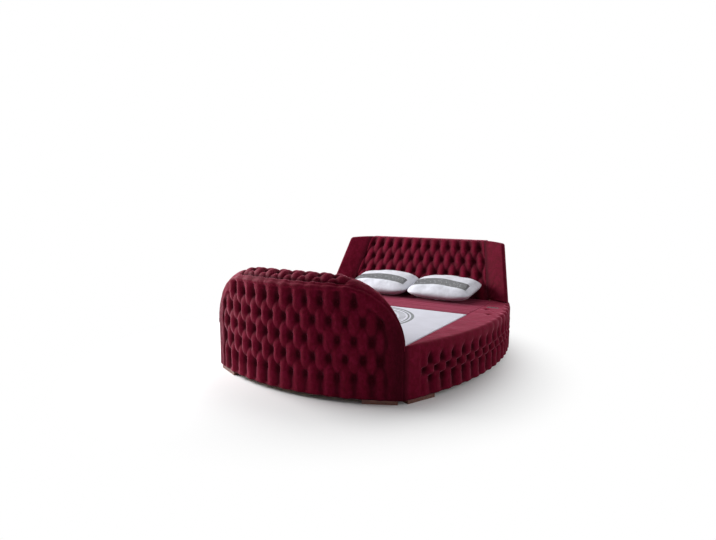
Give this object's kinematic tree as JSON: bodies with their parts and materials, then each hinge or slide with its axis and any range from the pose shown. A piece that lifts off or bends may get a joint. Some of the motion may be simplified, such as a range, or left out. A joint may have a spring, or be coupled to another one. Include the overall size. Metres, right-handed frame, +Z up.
{
  "type": "bed",
  "caption": "Curved upholstered storage bed with deep-buttoned velvet sides, high rounded footboard, winged headboard and a lift-up lid in the lying surface.",
  "frame": {"origin": "on the floor, under the middle of the bed's overall length and width", "axes": "+X to the right hand of someone standing at the foot and facing the headboard, +Y from the footboard to the headboard, +Z up"},
  "size_m": [2.4, 2.673, 1.022],
  "materials": {
    "velvet": "deep-buttoned crushed velvet in dark maroon",
    "velvet_deck": "plain stretched velvet in dark maroon",
    "lid_cloth": "smooth white upholstery cloth with a grey ring motif",
    "pillow_cloth": "satin-finish pillow cloth with a darker woven band",
    "lining": "black dust-cover cloth",
    "board": "raw plywood and particle board",
    "foot_wood": "brown stained wood",
    "steel": "black powder-coated steel",
    "zinc": "zinc-plated steel",
    "chrome": "hard chrome",
    "gloss": "glossy dark plastic",
    "trim": "silver-grey plastic"
  },
  "bodies": {
    "base": {"footboard_outer_cover": "velvet", "footboard_buttons": "velvet", "footboard_band": "velvet", "footboard_inner_cover": "velvet_deck", "footboard_inner_board": "board", "footboard_outer_board": "board", "footboard_top_board": "board", "footboard_base_board": "board", "footboard_ribs": "board", "side_skirt_left": "velvet", "side_skirt_right": "velvet", "side_buttons": "velvet", "side_deck_pad_left": "velvet_deck", "side_deck_pad_right": "velvet_deck", "socket_bezels": "trim", "socket_plates": "gloss", "side_deck_boards": "board", "side_base_boards": "board", "side_outer_boards": "board", "side_ribs": "board", "side_cleats": "board", "headboard_pad": "velvet", "headboard_buttons": "velvet", "headboard_front_board": "board", "headboard_ribs": "board", "headboard_end_boards": "board", "headboard_top_cover": "velvet_deck", "back_panel": "board", "back_cover": "lining", "wing_pad_left": "velvet_deck", "wing_pad_right": "velvet_deck", "wing_boards": "board", "wing_back_covers": "velvet_deck", "wing_brackets": "board", "storage_side_panels": "board", "storage_front_panel": "board", "storage_rear_panel": "board", "storage_floor": "board", "storage_bearers": "board", "head_support_panel": "board", "centre_feet": "foot_wood", "corner_feet": "foot_wood", "head_deck_board": "board", "head_deck_pad": "velvet_deck", "base_hinge_leaves": "zinc", "hinge_pins": "zinc", "spring_lower_brackets": "steel", "bracket_bolts": "zinc", "pillow_left": "pillow_cloth", "pillow_right": "pillow_cloth"},
    "lid": {"lid_pad": "lid_cloth", "lid_board": "board", "lid_side_rails": "steel", "lid_cross_rails": "steel", "lid_hinge_leaves": "zinc", "spring_upper_brackets": "steel"},
    "gas_spring_tube_left": {"gas_spring_tube_left": "steel"},
    "gas_spring_tube_right": {"gas_spring_tube_right": "steel"},
    "gas_spring_rod_left": {"gas_spring_rod_left": "chrome"},
    "gas_spring_rod_right": {"gas_spring_rod_right": "chrome"}
  },
  "joints": [
    {"name": "lid_hinge", "type": "hinge", "parent": "base", "child": "lid", "pos_m": [0, 0.17575, 0.427], "axis": [-1, 0, 0], "range_deg": [0, 50]},
    {"name": "gas_spring_pivot_left", "type": "hinge", "parent": "base", "child": "gas_spring_tube_left", "pos_m": [-0.85, 0.07575, 0.117], "axis": [-1, 0, 0], "range_deg": [0, 29]},
    {"name": "gas_spring_stroke_left", "type": "slide", "parent": "gas_spring_tube_left", "child": "gas_spring_rod_left", "axis": [0, -0.7419, 0.6705], "range_m": [0, 0.2195]},
    {"name": "gas_spring_pivot_right", "type": "hinge", "parent": "base", "child": "gas_spring_tube_right", "pos_m": [0.85, 0.07575, 0.117], "axis": [-1, 0, 0], "range_deg": [0, 29]},
    {"name": "gas_spring_stroke_right", "type": "slide", "parent": "gas_spring_tube_right", "child": "gas_spring_rod_right", "axis": [0, -0.7419, 0.6705], "range_m": [0, 0.2195]}
  ],
  "couplings": [
    {"joint": "gas_spring_pivot_left", "follows": "lid_hinge", "ratio": 0.57},
    {"joint": "gas_spring_stroke_left", "follows": "lid_hinge", "m_per_rad": 0.2512},
    {"joint": "gas_spring_pivot_right", "follows": "lid_hinge", "ratio": 0.57},
    {"joint": "gas_spring_stroke_right", "follows": "lid_hinge", "m_per_rad": 0.2512}
  ]
}
